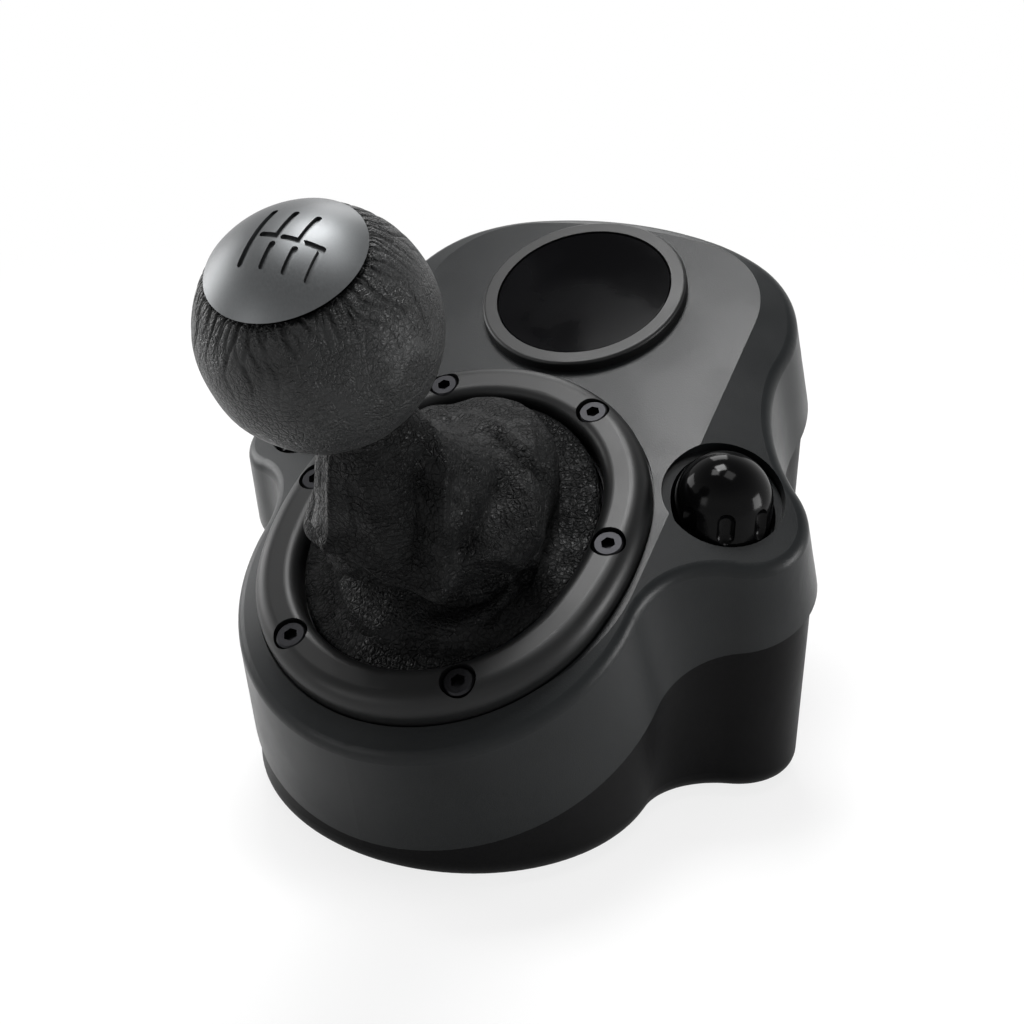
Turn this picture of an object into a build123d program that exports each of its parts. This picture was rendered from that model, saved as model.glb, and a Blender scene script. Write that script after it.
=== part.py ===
from build123d import *
import os
from math import cos, hypot, radians, sin, sqrt, tan

os.makedirs("parts", exist_ok=True)

# Sim racing gear shifter, in millimetres. +X is the driver's right, +Y points away
# from the driver and +Z is up. The table is at Z = 0.
# The deck is the inclined top plane that carries the gaiter ring. Its own
# directions are u to the right, v up the slope and w out of the deck.

# Deck
deck_pitch = 26.9             # degrees, falls towards the driver
deck_height = 64.0            # middle of the ring above the table
deck_thickness = 3.0

# Housing outline on the deck: front lobe, ears and rear lobe
front_radius = 49.6
front_centre_v = -1.9
ear_radius = 15.6
ear_centre_u = 60.2
ear_centre_v = 35.1
corner_radius = 30.5
corner_centre_u = 27.0
corner_centre_v = 87.0
rear_reach = 124.0
front_neck_radius = 25.0
rear_neck_radius = 42.0

# Skirt of the upper shell, down to the parting line
skirt_depth = 29.6
skirt_growth = 3.5
skirt_lean = 5.5
rim_fillet = 3.5
rim_depth_share = 0.42
shell_wall = 2.6
parting_step = 1.2

# Crease between the centre panel and the wings
crease_radius = 47.4
crease_centre_v = 3.4
crease_corner_radius = 27.0
crease_corner_v = 90.5
crease_reach = 119.6
wing_slope = 17.7             # degrees
wing_run = 44.0

# Oval seat of the ring: a front circle, a rear circle and flat side arcs
oval_front_radius = 45.0
oval_front_v = -0.5
oval_rear_radius = 45.5
oval_rear_v = 13.5
oval_side_radius = 80.0
seat_depth = 1.5

# Ring
ring_gap = 0.5
ring_width = 11.5
ring_rise = 6.5
ring_outer_fillet = 4.6
ring_inner_fillet = 3.0
ring_screw_inset = 6.1
ring_screw_seat = 4.6
ring_screw_hole_gap = 0.25
ring_counterbore_gap = 0.6
rear_screw_angle = 58.3
middle_screw_angle = -4.8
front_screw_angle = -56.4

# M4 socket head screws of the ring
m4_radius = 2.0
m4_head_radius = 3.5
m4_head_height = 4.0
m4_hex_across = 3.0
m4_hex_depth = 2.0
m4_length = 13.5

# Clamping frame and gate plate under the deck
frame_gap = 1.6
frame_thickness = 3.0
frame_inset = 2.6
gate_gap = 0.3
gate_thickness = 2.0
gate_clearance = 0.8
gate_corner = 4.0

# Lever
pivot_depth = 43.7            # pivot below the deck, square to it
lever_lean = 3.6              # degrees, leans on towards the driver
lever_reach = 125.6           # pivot to the middle of the ball
shaft_radius = 5.0
shaft_tail = 10.5
stud_radius = 4.0
stud_length = 22.0
side_angle = 6.5              # degrees between the lanes of the gate
reverse_angle = 13.0
fore_angle = 10.0
push_travel = 6.0
running_gap = 0.06
press_gap = 0.02
seat_gap = 0.3

# Ball
ball_radius = 23.8
leather_thickness = 3.4
cap_share = 0.7563            # plane of the cap's edge, as a share of the ball's radius
cap_proud = 0.25
cap_joint_gap = 0.3
cap_core_radius = 9.0
groove_width = 1.2
groove_depth = 0.7
groove_pitch = 4.7
groove_reach = 7.2
groove_break = 0.7
lane_shares = (-0.85, 0.15, 1.1)
reverse_share = 2.0
nut_radius = 9.0
nut_height = 7.0
neck_gap = 0.5

# Gaiter
gaiter_wall = 1.2
gaiter_gap = 0.9
gaiter_flange = 1.0
gaiter_edge = 2.4
collar_gap = 3.1

# Gimbal
block_width = 26.0
block_depth = 15.0
block_height = 16.0
block_fillet = 2.0
pin_radius = 3.0
pin_length = 6.4
yoke_gap = 0.5
yoke_side = 5.0
yoke_end = 5.0
yoke_room = 3.0
yoke_height = 12.0
yoke_fillet = 1.5
trunnion_radius = 3.5
bush_wall = 2.0
bearing_gap = 2.0
bearing_width = 5.0
bearing_half = 11.0
bearing_top = 9.0
plate_thickness = 2.5
plate_half_width = 24.0
plate_front = 26.0
plate_rear = 42.0
plate_window_width = 20.0
plate_window_front = 8.0
plate_window_rear = 20.0
spring_post_radius = 4.2
spring_radius = 2.4
spring_wire = 0.6
spring_length = 8.0
push_spring_radius = 7.2
push_spring_wire = 1.2
push_spring_length = 14.0
push_collar_radius = 8.5
push_collar_height = 3.0
clip_radius = 7.0
clip_height = 1.0
sensor_size = 13.0
sensor_depth = 8.0
sensor_fillet = 1.0

# Lower shell
foot_height = 1.5
base_thickness = 3.0
base_fillet = 6.0

# M3 screws of the case and of the gimbal
m3_radius = 1.5
m3_head_radius = 2.8
m3_head_height = 2.2
m3_pilot_gap = 0.05
m3_hole_gap = 0.2
m3_driver_gap = 0.7
tower_radius = 4.5
case_screw_grip = 12.0
case_screw_bite = 9.0
case_boss_height = 12.0
front_tower = (44.0, -8.0)
middle_tower = (50.0, 70.0)
rear_tower = (32.0, 110.0)
gimbal_screw_inset = 4.0
gimbal_screw_bite = 2.4

# Disc and its bezel
disc_centre_v = 90.3
disc_radius = 23.3
disc_thickness = 2.6
bezel_radius = 27.6
bezel_rise = 3.0
bezel_floor = 1.0
bezel_fillet = 0.9
disc_gap = 0.3
disc_sunk = 0.3

# Clamps
well_u = 56.7
well_v = 36.9
well_radius = 14.6
well_lip = 3.0
well_bore_radius = 12.4
well_depth = 10.0
well_wall = 2.2
knob_radius = 11.6
knob_side = 7.8
knob_lift = 0.6
flute_count = 8
flute_radius = 2.5
flute_bite = 1.3
flute_reach = 0.4
flute_base = 1.5
rod_radius = 3.92
rod_collar_radius = 7.0
rod_collar_height = 2.0
rod_end_height = 11.0
rod_spigot = 4.0
thread_gap = 0.08
jaw_post = 13.0
jaw_post_height = 46.0
jaw_foot_height = 5.5
jaw_foot_width = 16.0
jaw_foot_reach = 44.0
jaw_clearance = 0.5
jaw_pad_thickness = 2.0
jaw_pad_inset = 1.5
jaw_travel = 30.0
pocket_wall = 2.0
guide_height = 13.0

# Rubber feet and threaded inserts of the base
rubber_radius = 6.0
rubber_sunk = 0.7
front_foot = (30.0, -10.0)
middle_foot = (32.0, 48.0)
rear_foot = (20.0, 108.0)
insert_place = (36.0, 88.0)
insert_radius = 4.5
insert_bore = 2.5
insert_length = 9.0
insert_boss = 7.0

# Circuit board and cable socket
board_width = 44.0
board_depth = 32.0
board_thickness = 1.6
board_lift = 5.0
board_middle_y = 78.0
board_post_radius = 2.5
board_post_inset = 4.0
chip_size = 9.0
chip_height = 1.4
header_width = 14.0
header_height = 6.0
header_depth = 5.0
socket_width = 24.0
socket_height = 13.0
socket_depth = 14.0
socket_wall = 2.0
socket_cavity = 10.0
socket_lift = 12.0
socket_sunk = 1.4
socket_gap = 0.3
socket_fillet = 2.5

# Cuts run past the faces by this much, and points this close count as touching
overrun = 1.0
touch = 0.05
reach = 300.0

# Values that follow from the sizes above
pitch_cos = cos(radians(deck_pitch))
pitch_sin = sin(radians(deck_pitch))
lever_pitch = deck_pitch + lever_lean
lever_cos = cos(radians(lever_pitch))
lever_sin = sin(radians(lever_pitch))
wing_tan = tan(radians(wing_slope))
rear_y = (rear_reach + skirt_growth - skirt_lean) * pitch_cos + skirt_depth * pitch_sin
ball_front_y = pivot_depth * pitch_sin - lever_reach * lever_sin - ball_radius
deck_y = -(rear_y + ball_front_y) / 2
pivot_y = deck_y + pivot_depth * pitch_sin
pivot_z = deck_height - pivot_depth * pitch_cos
floor_z = foot_height + base_thickness
cap_height = cap_share * ball_radius
collar_height = lever_reach - pivot_depth - ball_radius - collar_gap

deck = Plane(origin=(0, deck_y, deck_height), x_dir=(1, 0, 0),
             z_dir=(0, -pitch_sin, pitch_cos))
lever = Plane(origin=(0, pivot_y, pivot_z), x_dir=(1, 0, 0),
              z_dir=(0, -lever_sin, lever_cos))


# Outlines


def at_deck(u, v, w):
    """A point given on the deck, in the part's own frame."""
    return deck.from_local_coords(Vector(u, v, w))


def parting_height(y):
    """Height of the parting plane at a distance y."""
    v = (y - deck_y - skirt_depth * pitch_sin) / pitch_cos
    return deck_height + v * pitch_sin - skirt_depth * pitch_cos


def meeting(a, a_reach, b, b_reach):
    """The right-hand point at given distances from two points."""
    gap = hypot(b[0] - a[0], b[1] - a[1])
    along = (a_reach**2 - b_reach**2 + gap**2) / (2 * gap)
    across = sqrt(a_reach**2 - along**2)
    dx = (b[0] - a[0]) / gap
    dy = (b[1] - a[1]) / gap
    return (a[0] + along * dx + across * dy, a[1] + along * dy - across * dx)


def toward(centre, target, radius):
    """The point of a circle that faces a target."""
    gap = hypot(target[0] - centre[0], target[1] - centre[1])
    return (centre[0] + radius * (target[0] - centre[0]) / gap,
            centre[1] + radius * (target[1] - centre[1]) / gap)


def arc(centre, radius, start, end, bulge=1):
    """An arc from start to end about a centre."""
    middle = ((start[0] + end[0]) / 2, (start[1] + end[1]) / 2)
    return ThreePointArc(start, toward(centre, middle, bulge * radius), end)


def closed_face(right_edges):
    """A face from its right-hand edges and their mirror image."""
    left_edges = [edge.mirror(Plane.YZ) for edge in right_edges]
    return make_face(right_edges + left_edges)


def housing_face(grow, lean):
    """Three-lobed outline, moved out by grow and down the slope by lean."""
    front = (0, front_centre_v - lean)
    ear = (ear_centre_u, ear_centre_v - lean)
    corner = (corner_centre_u, corner_centre_v - lean)
    front_neck = meeting(front, front_radius + front_neck_radius,
                         ear, ear_radius + front_neck_radius)
    rear_neck = meeting(ear, ear_radius + rear_neck_radius,
                        corner, corner_radius + rear_neck_radius)
    span = rear_reach - lean - corner_radius
    back_v = (span**2 - corner[0]**2 - corner[1]**2) / (2 * (span - corner[1]))
    back = (0, back_v)
    back_radius = rear_reach - lean - back_v + grow
    r_front = front_radius + grow
    r_ear = ear_radius + grow
    r_corner = corner_radius + grow
    points = [
        (0, front[1] - r_front),
        toward(front, front_neck, r_front),
        toward(ear, front_neck, r_ear),
        toward(ear, rear_neck, r_ear),
        toward(corner, rear_neck, r_corner),
        toward(back, corner, back_radius),
        (0, rear_reach - lean + grow),
    ]
    return closed_face([
        arc(front, r_front, points[0], points[1]),
        arc(front_neck, front_neck_radius - grow, points[1], points[2]),
        arc(ear, r_ear, points[2], points[3]),
        arc(rear_neck, rear_neck_radius - grow, points[3], points[4]),
        arc(corner, r_corner, points[4], points[5]),
        arc(back, back_radius, points[5], points[6]),
    ])


def crease_face(grow):
    """Outline of the centre panel, moved out by grow."""
    front = (0, crease_centre_v)
    corner = (crease_radius - crease_corner_radius, crease_corner_v)
    span = crease_reach - crease_corner_radius
    back_v = (span**2 - corner[0]**2 - corner[1]**2) / (2 * (span - corner[1]))
    back = (0, back_v)
    back_radius = crease_reach - back_v + grow
    side = crease_radius + grow
    corner_end = toward(back, corner, back_radius)
    return closed_face([
        arc(front, side, (0, front[1] - side), (side, front[1])),
        Line((side, front[1]), (side, corner[1])),
        arc(corner, crease_corner_radius + grow, (side, corner[1]), corner_end),
        arc(back, back_radius, corner_end, (0, crease_reach + grow)),
    ])


def egg_face(front_v, r_front, rear_v, r_rear, r_side):
    """A front and a rear circle joined by flat side arcs."""
    front = (0, front_v)
    rear = (0, rear_v)
    side_right = meeting(rear, r_side - r_rear, front, r_side - r_front)
    side = (-abs(side_right[0]), side_right[1])
    front_end = toward(side, front, r_side)
    rear_end = toward(side, rear, r_side)
    return closed_face([
        arc(front, r_front, (0, front_v - r_front), front_end),
        arc(side, r_side, front_end, rear_end),
        arc(rear, r_rear, rear_end, (0, rear_v + r_rear)),
    ])


def oval_face(grow):
    """Outline of the ring's seat, moved out by grow."""
    return egg_face(oval_front_v, oval_front_radius + grow,
                    oval_rear_v, oval_rear_radius + grow, oval_side_radius + grow)


def ring_screw_places():
    """Places of the six ring screws on the deck."""
    places = []
    for centre_v, radius, angle in (
        (oval_rear_v, oval_rear_radius, rear_screw_angle),
        (oval_rear_v, oval_rear_radius, middle_screw_angle),
        (oval_front_v, oval_front_radius, front_screw_angle),
    ):
        run = radius - ring_screw_inset
        for side in (1, -1):
            places.append((side * run * cos(radians(angle)),
                           centre_v + run * sin(radians(angle))))
    return places


# Housing


def skirt(top, bottom, inset):
    """Body of the upper shell between two depths, drafted and leaning forward."""
    faces = []
    for depth in (top, bottom):
        share = depth / skirt_depth
        faces.append(Pos(0, 0, -depth)
                     * housing_face(share * skirt_growth - inset, share * skirt_lean))
    return loft(faces, ruled=True)


def crown(lowered):
    """Everything below the centre panel and the sloping wings."""
    drop = wing_run * wing_tan
    slope = loft([crease_face(0), Pos(0, 0, -drop) * crease_face(wing_run)], ruled=True)
    below = extrude(Pos(0, 0, -drop) * crease_face(wing_run), -(skirt_depth + overrun))
    return Pos(0, 0, -lowered) * (slope + below)


def on_rim(edge):
    """Whether an edge lies on the outer rim of the shell's top."""
    middle = edge.position_at(0.5)
    depth = -middle.Z
    if depth > skirt_depth * rim_depth_share:
        return False
    share = depth / skirt_depth
    outline = Pos(0, 0, -depth) * housing_face(share * skirt_growth, share * skirt_lean)
    return outline.faces()[0].outer_wire().distance_to(Vertex(middle)) < touch


def shell_envelope():
    """Outer form of the upper shell, on the deck's axes."""
    body = skirt(0, skirt_depth, 0) & crown(0)
    rim = body.edges().filter_by(on_rim)
    return fillet(rim, rim_fillet)


def well_frame(side):
    """Plane on the wing at the middle of a well, on the deck's axes."""
    w = -(well_u - crease_radius) * wing_tan
    out = sin(radians(wing_slope))
    return Plane(origin=(side * well_u, well_v, w), x_dir=(0, 1, 0),
                 z_dir=(side * out, 0, cos(radians(wing_slope))))


def well_point(side):
    """Middle of a well in the part's own frame."""
    return at_deck(side * well_u, well_v, -(well_u - crease_radius) * wing_tan)


def upright(x, y, z, radius, height):
    """A vertical cylinder that stands at a point."""
    return Pos(x, y, z) * Cylinder(radius, height,
                                   align=(Align.CENTER, Align.CENTER, Align.MIN))


def both_sides(place):
    """A place and its mirror image, with the deck's middle as origin."""
    return [(side * place[0], deck_y + place[1]) for side in (1, -1)]


def tower_places():
    """Places of the case screws."""
    return both_sides(front_tower) + both_sides(middle_tower) + both_sides(rear_tower)


def upper_shell():
    """Upper half of the housing, with the ring's seat and the two wells."""
    outer = deck.location * shell_envelope()
    cavity = deck.location * (skirt(0, skirt_depth + overrun, shell_wall)
                              & crown(deck_thickness))
    shell = outer - cavity
    extras = []
    for side in (1, -1):
        middle = well_point(side)
        cup_bottom = middle.Z - well_depth - well_wall
        extras.append(upright(middle.X, middle.Y, cup_bottom,
                              well_bore_radius + well_wall, reach))
    for x, y in tower_places():
        low = parting_height(y - tower_radius) - overrun
        height = case_boss_height if y < deck_y else reach
        extras.append(upright(x, y, low, tower_radius, height))
    above_parting = deck.location * Pos(0, 0, -skirt_depth) * Box(
        reach, reach, reach, align=(Align.CENTER, Align.CENTER, Align.MIN))
    for extra in extras:
        shell += extra & outer & above_parting
    shell -= deck.location * extrude(oval_face(-ring_width - ring_gap), reach, both=True)
    shell -= deck.location * Pos(0, 0, -seat_depth) * extrude(oval_face(0), reach)
    for u, v in ring_screw_places():
        shell -= deck.location * Pos(u, v, 0) * Cylinder(m4_radius + ring_screw_hole_gap,
                                                         reach)
    shell -= deck.location * Pos(0, disc_centre_v, -bezel_floor) * Cylinder(
        bezel_radius - disc_gap * 3, reach, align=(Align.CENTER, Align.CENTER, Align.MIN))
    for side in (1, -1):
        middle = well_point(side)
        lip = deck.location * well_frame(side).location * Pos(0, 0, -well_lip)
        shell -= lip * Cylinder(well_radius, reach,
                                align=(Align.CENTER, Align.CENTER, Align.MIN))
        shell -= upright(middle.X, middle.Y, middle.Z - well_depth, well_bore_radius, reach)
        shell -= Pos(middle.X, middle.Y, middle.Z) * Cylinder(rod_radius + running_gap, reach)
    for x, y in tower_places():
        low = parting_height(y)
        shell -= upright(x, y, low - case_screw_grip, m3_radius + m3_pilot_gap,
                         case_screw_grip + case_screw_bite + overrun)
    return shell


def lower_block(inset, bottom):
    """Solid under the parting line, with upright walls."""
    grow = skirt_growth - parting_step - inset
    face = deck.location * Pos(0, 0, -skirt_depth) * housing_face(grow, skirt_lean)
    block = extrude(face, amount=reach, dir=(0, 0, -1))
    keep = Pos(0, 0, bottom) * Box(reach, reach, reach,
                                   align=(Align.CENTER, Align.CENTER, Align.MIN))
    return block & keep


def jaw_boxes(side, clearance, top):
    """The space of a jaw's foot: under the post, and back along the table."""
    middle = well_point(side)
    half = jaw_post / 2 + clearance
    inner = middle.X - side * (jaw_foot_width - jaw_post / 2 + half - jaw_post / 2)
    front = middle.Y - half
    low = foot_height + seat_gap if clearance == 0 else foot_height - overrun
    post_box = span_box(middle.X - side * half - side * clearance, middle.X + side * half,
                        front, middle.Y + half, low, top)
    foot_outer = middle.X - side * (half - jaw_post / 2 - clearance)
    foot_box = span_box(inner - side * clearance, foot_outer + side * clearance,
                        front, front + jaw_foot_reach + 2 * clearance, low, top)
    return post_box + foot_box


def span_box(x0, x1, y0, y1, z0, z1):
    """A box between two corners."""
    return Pos((x0 + x1) / 2, (y0 + y1) / 2, (z0 + z1) / 2) * Box(
        abs(x1 - x0), abs(y1 - y0), abs(z1 - z0))


def pocket_top():
    """Ceiling of the pocket that hides a jaw's foot."""
    return (foot_height + seat_gap + jaw_foot_height + jaw_pad_thickness + jaw_clearance)


def foot_places():
    """Places of the rubber feet."""
    return both_sides(front_foot) + both_sides(middle_foot) + both_sides(rear_foot)


def board_post_places():
    """Places of the posts under the circuit board."""
    x = board_width / 2 - board_post_inset
    y = board_depth / 2 - board_post_inset
    return [(sx * x, deck_y + board_middle_y + sy * y) for sx in (1, -1) for sy in (1, -1)]


def gimbal_screw_places():
    """Places of the screws that hold the gimbal frame."""
    x = plate_half_width - gimbal_screw_inset
    front = pivot_y - plate_front + gimbal_screw_inset
    rear = pivot_y + plate_rear - gimbal_screw_inset
    return [(side * x, y) for side in (1, -1) for y in (front, rear)]


def socket_middle():
    """Middle of the cable socket's mouth on the rear wall."""
    wall_y = deck_y + rear_y - parting_step * pitch_cos
    return Vector(0, wall_y, foot_height + socket_lift + socket_height / 2)


def lower_shell():
    """Lower half of the housing, with screw towers, jaw pockets and guides."""
    outer = lower_block(0, foot_height)
    base = outer.faces().filter_by(GeomType.PLANE).sort_by(Axis.Z)[0]
    outer = fillet(base.edges(), base_fillet)
    shell = outer - lower_block(shell_wall, floor_z)
    extras = []
    for x, y in tower_places():
        extras.append(upright(x, y, foot_height, tower_radius, reach))
    for x, y in both_sides(insert_place):
        extras.append(upright(x, y, foot_height, insert_boss,
                              insert_length + base_thickness))
    for x, y in board_post_places():
        extras.append(upright(x, y, foot_height, board_post_radius,
                              base_thickness + board_lift))
    for side in (1, -1):
        middle = well_point(side)
        wall = jaw_clearance + pocket_wall
        extras.append(jaw_boxes(side, wall, pocket_top() + pocket_wall))
        size = jaw_post + 2 * wall
        extras.append(Pos(middle.X, middle.Y, foot_height) * Box(
            size, size, pocket_top() + guide_height,
            align=(Align.CENTER, Align.CENTER, Align.MIN)))
    for extra in extras:
        shell += extra & outer
    for side in (1, -1):
        middle = well_point(side)
        shell -= jaw_boxes(side, jaw_clearance, pocket_top())
        size = jaw_post + 2 * jaw_clearance
        shell -= Pos(middle.X, middle.Y, middle.Z) * Box(size, size, reach)
    for x, y in tower_places():
        head_z = parting_height(y) - case_screw_grip
        shell -= upright(x, y, head_z - reach, m3_head_radius + m3_driver_gap, reach)
        shell -= upright(x, y, head_z - overrun, m3_radius + m3_hole_gap, reach)
    for x, y in both_sides(insert_place):
        shell -= upright(x, y, foot_height - overrun, insert_radius + press_gap,
                         insert_length + overrun)
    for x, y in foot_places():
        shell -= upright(x, y, foot_height - overrun, rubber_radius + press_gap,
                         rubber_sunk + overrun)
    for x, y in gimbal_screw_places():
        shell -= upright(x, y, floor_z - gimbal_screw_bite, m3_radius + m3_pilot_gap, reach)
    mouth = socket_middle()
    shell -= Pos(mouth) * Box(socket_width + 2 * socket_gap, shell_wall * 6,
                              socket_height + 2 * socket_gap)
    return shell


# Ring, gaiter and the plates under the deck


def gaiter_ring():
    """Raised oval ring with a rolled edge and six counterbored holes."""
    band = oval_face(-ring_gap) - oval_face(-ring_width)
    ring = Pos(0, 0, -seat_depth) * extrude(band, seat_depth + ring_rise)
    top = ring.faces().filter_by(Plane.XY).sort_by(Axis.Z)[-1]
    ring = fillet(top.outer_wire().edges(), ring_outer_fillet)
    top = ring.faces().filter_by(Plane.XY).sort_by(Axis.Z)[-1]
    ring = fillet(top.inner_wires()[0].edges(), ring_inner_fillet)
    for u, v in ring_screw_places():
        seat = Pos(u, v, ring_rise - ring_screw_seat)
        ring -= seat * Cylinder(m4_head_radius + ring_counterbore_gap, reach,
                                align=(Align.CENTER, Align.CENTER, Align.MIN))
        ring -= seat * Cylinder(m4_radius + ring_screw_hole_gap, reach)
    return deck.location * ring


def socket_screw():
    """An M4 socket head screw, with the underside of its head at the origin."""
    head = Cylinder(m4_head_radius, m4_head_height,
                    align=(Align.CENTER, Align.CENTER, Align.MIN))
    head = chamfer(head.edges().sort_by(Axis.Z)[-1], m4_head_height / 10)
    shank = Cylinder(m4_radius, m4_length, align=(Align.CENTER, Align.CENTER, Align.MAX))
    key = extrude(RegularPolygon(m4_hex_across / 2, 6, major_radius=False), m4_hex_depth)
    return head + shank - Pos(0, 0, m4_head_height - m4_hex_depth) * key


def ring_screws():
    """The six screws of the ring."""
    seat = ring_rise - ring_screw_seat
    return Compound([deck.location * Pos(u, v, seat) * socket_screw()
                     for u, v in ring_screw_places()])


def lever_offset(depth):
    """How far the lever's axis has moved down the slope at a depth under the deck."""
    return -(pivot_depth - depth) * tan(radians(lever_lean))


def frame_top():
    """Depth of the clamping frame's upper face."""
    return deck_thickness + frame_gap


def gaiter_frame():
    """Plate that clamps the gaiter's edge up against the deck."""
    band = oval_face(-frame_inset) - oval_face(-ring_width)
    plate = Pos(0, 0, -frame_top() - frame_thickness) * extrude(band, frame_thickness)
    for u, v in ring_screw_places():
        plate -= Pos(u, v, 0) * Cylinder(m4_radius + ring_screw_hole_gap, reach)
    return deck.location * plate


def gate_plate():
    """Steel plate whose opening ends the lever's travel."""
    top = frame_top() + frame_thickness + gate_gap
    depth = top + gate_thickness / 2
    arm = pivot_depth - depth
    fit = shaft_radius / cos(radians(reverse_angle)) + gate_clearance
    right = arm * tan(radians(reverse_angle)) + fit
    left = arm * tan(radians(side_angle)) + fit
    fore = arm * tan(radians(fore_angle + lever_lean)) + fit
    aft = arm * tan(radians(fore_angle - lever_lean)) + fit
    opening = Pos((right - left) / 2, (aft - fore) / 2) * RectangleRounded(
        right + left, fore + aft, gate_corner)
    plate = Pos(0, 0, -top - gate_thickness) * extrude(oval_face(-frame_inset) - opening,
                                                       gate_thickness)
    for u, v in ring_screw_places():
        plate -= Pos(u, v, 0) * Cylinder(m4_radius + running_gap, reach)
    return deck.location * plate


# Folds of the gaiter, as shares: height up the lever, half width, how much of the
# opening's length is left, and the swell to the right
fold_shares = (
    (-0.08, 1.0, 1.0, 0.0),
    (0.04, 1.0, 1.0, 0.0),
    (0.17, 0.97, 0.9, 0.01),
    (0.27, 0.86, 0.75, 0.0),
    (0.42, 0.8, 0.45, 0.05),
    (0.52, 0.6, 0.35, 0.02),
    (0.68, 0.55, 0.25, 0.03),
    (0.78, 0.43, 0.2, 0.0),
    (1.0, 0.36, 0.15, 0.0),
)


def gaiter_section(height, width, length, swell, inset):
    """An oval round the lever at a height above the deck."""
    r_front = (oval_front_radius - ring_width - gaiter_gap) * width
    r_rear = r_front - (oval_front_radius - oval_rear_radius) * width * length
    spread = (oval_rear_v - oval_front_v) * length
    axis_v = lever_offset(-height * collar_height)
    front_v = oval_front_v * length + (axis_v - spread / 2) * (1 - length)
    r_side = oval_side_radius * width
    face = egg_face(front_v, r_front - inset, front_v + spread, r_rear - inset,
                    r_side - inset)
    return Pos(oval_front_radius * swell, 0, height * collar_height) * face


def gaiter_form(inset):
    """Leather sleeve from the ring's opening up to the ball."""
    return loft([gaiter_section(*shares, inset) for shares in fold_shares], ruled=True)


def gaiter():
    """Hollow gaiter with its main folds and its clamped edge."""
    edge = oval_face(gaiter_edge - ring_width) - oval_face(-ring_width - gaiter_gap)
    flange = Pos(0, 0, -frame_top() + seat_gap) * extrude(edge, gaiter_flange)
    return deck.location * (gaiter_form(0) - gaiter_form(gaiter_wall) + flange)


# Lever and ball


def on_lever(shape):
    """Places a shape drawn about the pivot, with Z along the lever."""
    return lever.location * shape


def rod(radius, low, high):
    """A cylinder about the Z axis between two heights."""
    return Pos(0, 0, low) * Cylinder(radius, high - low,
                                     align=(Align.CENTER, Align.CENTER, Align.MIN))


def lever_shaft():
    """Steel rod of the lever, with a thinner threaded end inside the ball."""
    top = lever_reach + cap_height - leather_thickness - stud_length / 2
    step = top - stud_length
    shaft = rod(shaft_radius, -shaft_tail, step) + rod(stud_radius, step, top)
    return on_lever(shaft)


def knob_core():
    """Hard plastic core that is screwed on the lever."""
    radius = ball_radius - leather_thickness - press_gap
    core = Sphere(radius) & rod(ball_radius, -ball_radius, cap_height - cap_joint_gap * 2)
    top = lever_reach + cap_height - leather_thickness - stud_length / 2
    step = top - stud_length - lever_reach
    core -= rod(stud_radius + press_gap, step - overrun, top - lever_reach + seat_gap)
    core -= rod(shaft_radius + press_gap, -ball_radius - overrun, step + seat_gap)
    core -= rod(nut_radius + neck_gap, -ball_radius - overrun,
                -ball_radius + nut_height / 2 + neck_gap)
    return on_lever(Pos(0, 0, lever_reach) * core)


def knob_leather():
    """Leather cover of the ball, open under the cap and at the neck."""
    cover = Sphere(ball_radius) - Sphere(ball_radius - leather_thickness)
    cover &= rod(ball_radius + overrun, -ball_radius, cap_height)
    cover -= rod(nut_radius + neck_gap, -ball_radius - overrun, 0)
    return on_lever(Pos(0, 0, lever_reach) * cover)


def groove_line(u, low, high):
    """A straight groove up the slope, with round ends."""
    return Pos(u, (low + high) / 2) * SlotOverall(high - low, groove_width, 90)


def gate_grooves():
    """Lines of the gear gate: three lanes, the bars between them and reverse."""
    half = groove_width / 2
    first = lane_shares[0] * groove_pitch
    lines = groove_line(first, -groove_reach, groove_reach)
    reverse = reverse_share * groove_pitch
    lines += groove_line(reverse, -groove_reach, half)
    for lane in lane_shares[1:]:
        u = lane * groove_pitch
        lines += groove_line(u, -half, groove_reach)
        lines += groove_line(u, -groove_reach, -half - groove_break)
        lines += Pos(u - groove_pitch / 3, 0) * SlotOverall(
            2 * groove_pitch / 3 + groove_width, groove_width)
    lines += Pos(reverse - groove_pitch / 3, 0) * SlotOverall(
        2 * groove_pitch / 3 + groove_width, groove_width)
    return lines


def knob_cap():
    """Domed metal cap with the gear gate cut into it."""
    radius = ball_radius + cap_proud
    dome = Sphere(radius) & rod(radius, cap_height + cap_joint_gap, radius)
    spigot = rod(cap_core_radius, cap_height - cap_joint_gap, cap_height + overrun)
    skin = Sphere(radius + overrun) - Sphere(radius - groove_depth)
    grooves = extrude(gate_grooves(), radius + overrun) & skin
    return on_lever(Pos(0, 0, lever_reach) * (dome + spigot - grooves))


def knob_nut():
    """Nut that locks the ball on the lever."""
    top = lever_reach - ball_radius + nut_height / 2
    nut = rod(nut_radius, top - nut_height, top) - rod(shaft_radius + press_gap, 0, top + overrun)
    return on_lever(nut)


# Gimbal


def tilt_block():
    """Block that tilts fore and aft and guides the lever."""
    block = Box(block_width, block_depth, block_height)
    block = fillet(block.edges().filter_by(Axis.X), block_fillet)
    block -= Cylinder(shaft_radius + running_gap, block_height + overrun)
    block -= Rot(0, 90, 0) * Cylinder(pin_radius + press_gap, block_width + overrun)
    core = Box(block_width - 2 * pin_length, block_depth - block_fillet,
               block_height - block_fillet)
    block += core - Cylinder(shaft_radius + running_gap, block_height + overrun)
    return on_lever(block)


def tilt_pins():
    """Two stub pins between the tilt block and the yoke."""
    start = block_width / 2 - pin_length + press_gap
    end = block_width / 2 + yoke_gap + yoke_side
    pin = Rot(0, 90, 0) * rod(pin_radius, start, end)
    return Compound([on_lever(pin), on_lever(pin.mirror(Plane.YZ))])


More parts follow.
